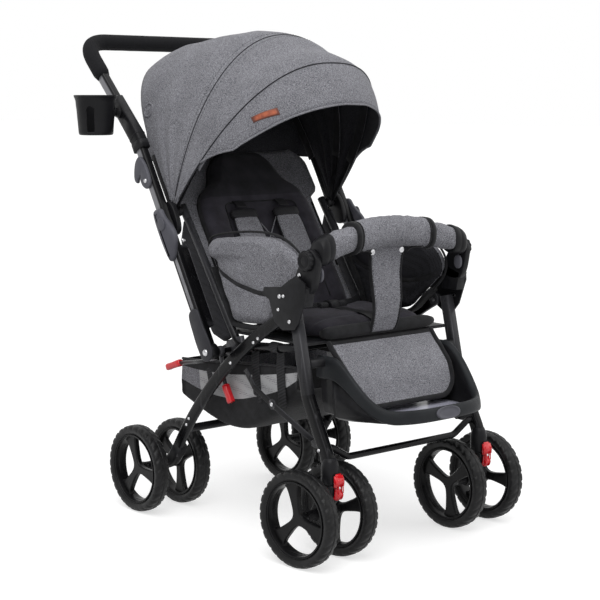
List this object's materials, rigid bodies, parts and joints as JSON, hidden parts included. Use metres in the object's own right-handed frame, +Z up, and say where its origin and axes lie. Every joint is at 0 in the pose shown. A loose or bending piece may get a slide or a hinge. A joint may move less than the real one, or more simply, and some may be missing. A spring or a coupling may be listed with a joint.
{
  "type": "reversible stroller",
  "caption": "Folding child stroller with paired caster wheels, padded seat, bumper bar, canopy, basket, scoop footrest and a U-shaped handle that swings over to face the child.",
  "frame": {"origin": "on the floor, midway between the two sides of the frame, under the middle of its length", "axes": "+Z up, the front of the stroller faces -Y, the child's left is +X"},
  "size_m": [0.618, 0.8531, 0.9885],
  "materials": {
    "black_paint": "gloss black paint on metal tube",
    "grey_tube": "grey and black painted tube",
    "black_plastic": "moulded, slightly grained",
    "grey_plastic": "moulded dark grey",
    "red_plastic": "glossy red",
    "rubber": "matte black tread",
    "foam": "matte closed-cell foam",
    "grey_cloth": "grey melange woven cloth",
    "dark_cloth": "charcoal woven cloth"
  },
  "bodies": {
    "frame": {"front_leg_right": "black_paint", "front_leg_left": "black_paint", "front_cross_tube": "black_paint", "hub_bracket_right": "black_plastic", "hub_bracket_left": "black_plastic", "crotch_strap": "grey_cloth", "seat_frame": "black_paint", "seat_board": "black_plastic", "seat_cushion": "dark_cloth", "side_wing_right": "grey_cloth", "side_wing_left": "grey_cloth", "leg_flap": "grey_cloth", "canopy_bow_rear": "black_plastic", "canopy_cover": "grey_cloth", "basket": "dark_cloth"},
    "rear_frame": {"rear_leg_right": "black_paint", "rear_leg_left": "black_paint", "rear_cross_tube": "black_paint"},
    "brace_right": {"fold_brace_right": "black_paint"},
    "brace_left": {"fold_brace_left": "black_paint"},
    "wheel_rear_right_outer": {"tyre_rear_right_outer": "rubber", "rim_rear_right_outer": "black_plastic"},
    "wheel_rear_right_inner": {"tyre_rear_right_inner": "rubber", "rim_rear_right_inner": "black_plastic"},
    "wheel_rear_left_outer": {"tyre_rear_left_outer": "rubber", "rim_rear_left_outer": "black_plastic"},
    "wheel_rear_left_inner": {"tyre_rear_left_inner": "rubber", "rim_rear_left_inner": "black_plastic"},
    "wheel_front_right_outer": {"tyre_front_right_outer": "rubber", "rim_front_right_outer": "black_plastic"},
    "wheel_front_right_inner": {"tyre_front_right_inner": "rubber", "rim_front_right_inner": "black_plastic"},
    "wheel_front_left_outer": {"tyre_front_left_outer": "rubber", "rim_front_left_outer": "black_plastic"},
    "wheel_front_left_inner": {"tyre_front_left_inner": "rubber", "rim_front_left_inner": "black_plastic"},
    "caster_right": {"caster_fork_right": "black_plastic"},
    "caster_left": {"caster_fork_left": "black_plastic"},
    "lock_right": {"swivel_lock_right": "red_plastic"},
    "lock_left": {"swivel_lock_left": "red_plastic"},
    "knob_right": {"hub_knob_right": "black_plastic"},
    "knob_left": {"hub_knob_left": "black_plastic"},
    "bumper": {"bumper_bar": "grey_cloth", "bar_collar_right": "black_plastic", "bar_collar_left": "black_plastic"},
    "back": {"backrest": "dark_cloth", "shoulder_pad_right": "grey_cloth", "shoulder_pad_left": "grey_cloth"},
    "bow_front": {"canopy_bow_front": "black_plastic"},
    "bow_middle": {"canopy_bow_middle": "black_plastic"},
    "handle": {"handle_tube": "grey_tube", "handle_grip": "foam", "cup_mount": "black_plastic"},
    "latch_right": {"handle_latch_right": "grey_plastic"},
    "latch_left": {"handle_latch_left": "grey_plastic"},
    "hook": {"fold_hook": "grey_plastic"},
    "cup": {"cup_holder": "black_plastic"},
    "footrest": {"footrest_tray": "black_plastic"},
    "lever_fold": {"fold_lever": "red_plastic"},
    "lever_release": {"release_lever": "red_plastic"}
  },
  "joints": [
    {"name": "frame_fold", "type": "hinge", "parent": "frame", "child": "rear_frame", "pos_m": [0, -0.192, 0.444], "axis": [-1, 0, 0], "range_deg": [0, 36]},
    {"name": "brace_turn_right", "type": "hinge", "parent": "frame", "child": "brace_right", "pos_m": [-0.188, -0.27, 0.2162], "axis": [-1, 0, 0], "range_deg": [0, 20]},
    {"name": "brace_turn_left", "type": "hinge", "parent": "frame", "child": "brace_left", "pos_m": [0.188, -0.27, 0.2162], "axis": [-1, 0, 0], "range_deg": [0, 20]},
    {"name": "spin_rear_right_outer", "type": "hinge", "parent": "rear_frame", "child": "wheel_rear_right_outer", "pos_m": [-0.2515, 0.213, 0.09], "axis": [1, 0, 0], "continuous": true},
    {"name": "spin_rear_right_inner", "type": "hinge", "parent": "rear_frame", "child": "wheel_rear_right_inner", "pos_m": [-0.1465, 0.213, 0.09], "axis": [1, 0, 0], "continuous": true},
    {"name": "spin_rear_left_outer", "type": "hinge", "parent": "rear_frame", "child": "wheel_rear_left_outer", "pos_m": [0.2515, 0.213, 0.09], "axis": [1, 0, 0], "continuous": true},
    {"name": "spin_rear_left_inner", "type": "hinge", "parent": "rear_frame", "child": "wheel_rear_left_inner", "pos_m": [0.1465, 0.213, 0.09], "axis": [1, 0, 0], "continuous": true},
    {"name": "caster_swivel_right", "type": "hinge", "parent": "frame", "child": "caster_right", "pos_m": [-0.199, -0.32, 0.15], "axis": [0, 0, 1], "continuous": true},
    {"name": "caster_swivel_left", "type": "hinge", "parent": "frame", "child": "caster_left", "pos_m": [0.199, -0.32, 0.15], "axis": [0, 0, 1], "continuous": true},
    {"name": "spin_front_right_outer", "type": "hinge", "parent": "caster_right", "child": "wheel_front_right_outer", "pos_m": [-0.20159, -0.29212, 0.09], "axis": [0.9957, 0.0924, 0], "continuous": true},
    {"name": "spin_front_right_inner", "type": "hinge", "parent": "caster_right", "child": "wheel_front_right_inner", "pos_m": [-0.20159, -0.29212, 0.09], "axis": [0.9957, 0.0924, 0], "continuous": true},
    {"name": "spin_front_left_outer", "type": "hinge", "parent": "caster_left", "child": "wheel_front_left_outer", "pos_m": [0.2515, -0.292, 0.09], "axis": [1, 0, 0], "continuous": true},
    {"name": "spin_front_left_inner", "type": "hinge", "parent": "caster_left", "child": "wheel_front_left_inner", "pos_m": [0.1465, -0.292, 0.09], "axis": [1, 0, 0], "continuous": true},
    {"name": "lock_flick_right", "type": "hinge", "parent": "caster_right", "child": "lock_right", "pos_m": [-0.19708, -0.34071, 0.168], "axis": [-0.9957, -0.0924, 0], "range_deg": [0, 35]},
    {"name": "lock_flick_left", "type": "hinge", "parent": "caster_left", "child": "lock_left", "pos_m": [0.199, -0.3408, 0.168], "axis": [-1, 0, 0], "range_deg": [0, 35]},
    {"name": "knob_turn_right", "type": "hinge", "parent": "frame", "child": "knob_right", "pos_m": [-0.2035, -0.263, 0.555], "axis": [-1, 0, 0], "range_deg": [0, 90]},
    {"name": "knob_turn_left", "type": "hinge", "parent": "frame", "child": "knob_left", "pos_m": [0.2035, -0.263, 0.555], "axis": [1, 0, 0], "range_deg": [0, 90]},
    {"name": "bumper_swing", "type": "hinge", "parent": "frame", "child": "bumper", "pos_m": [0, -0.263, 0.555], "axis": [1, 0, 0], "range_deg": [0, 60], "deforming": ["crotch_strap"]},
    {"name": "back_recline", "type": "hinge", "parent": "frame", "child": "back", "pos_m": [0, 0.0075, 0.4166], "axis": [-1, 0, 0], "range_deg": [0, 45]},
    {"name": "canopy_front_fold", "type": "hinge", "parent": "frame", "child": "bow_front", "pos_m": [0, 0.135, 0.624], "axis": [-1, 0, 0], "range_deg": [0, 50], "deforming": ["canopy_cover"]},
    {"name": "canopy_middle_fold", "type": "hinge", "parent": "frame", "child": "bow_middle", "pos_m": [0, 0.135, 0.624], "axis": [-1, 0, 0], "range_deg": [0, 28]},
    {"name": "handle_reverse", "type": "hinge", "parent": "frame", "child": "handle", "pos_m": [0, -0.02, 0.361], "axis": [-1, 0, 0], "range_deg": [-68, 0]},
    {"name": "latch_slide_right", "type": "slide", "parent": "handle", "child": "latch_right", "axis": [0, 0.5015, 0.8652], "range_m": [0, 0.012], "stiffness_N_per_m": 300},
    {"name": "latch_slide_left", "type": "slide", "parent": "handle", "child": "latch_left", "axis": [0, 0.5015, 0.8652], "range_m": [0, 0.012], "stiffness_N_per_m": 300},
    {"name": "hook_turn", "type": "hinge", "parent": "handle", "child": "hook", "pos_m": [-0.2533, 0.16807, 0.68543], "axis": [1, 0, 0], "range_deg": [0, 40]},
    {"name": "cup_tilt", "type": "hinge", "parent": "handle", "child": "cup", "pos_m": [-0.2643, 0.2689, 0.8214], "axis": [-1, 0, 0], "range_deg": [-35, 35]},
    {"name": "footrest_raise", "type": "hinge", "parent": "frame", "child": "footrest", "pos_m": [0, -0.25147, 0.362], "axis": [-1, 0, 0], "range_deg": [0, 25], "deforming": ["leg_flap"]},
    {"name": "fold_lever_pull", "type": "hinge", "parent": "frame", "child": "lever_fold", "pos_m": [-0.2195, -0.02, 0.361], "axis": [1, 0, 0], "range_deg": [0, 25]},
    {"name": "release_lever_pull", "type": "hinge", "parent": "frame", "child": "lever_release", "pos_m": [-0.187, 0.018, 0.352], "axis": [1, 0, 0], "range_deg": [0, 25]}
  ],
  "couplings": [
    {"joint": "brace_turn_right", "follows": "frame_fold", "ratio": 0.5555},
    {"joint": "brace_turn_left", "follows": "frame_fold", "ratio": 0.5555},
    {"joint": "canopy_middle_fold", "follows": "canopy_front_fold", "ratio": 0.56}
  ]
}
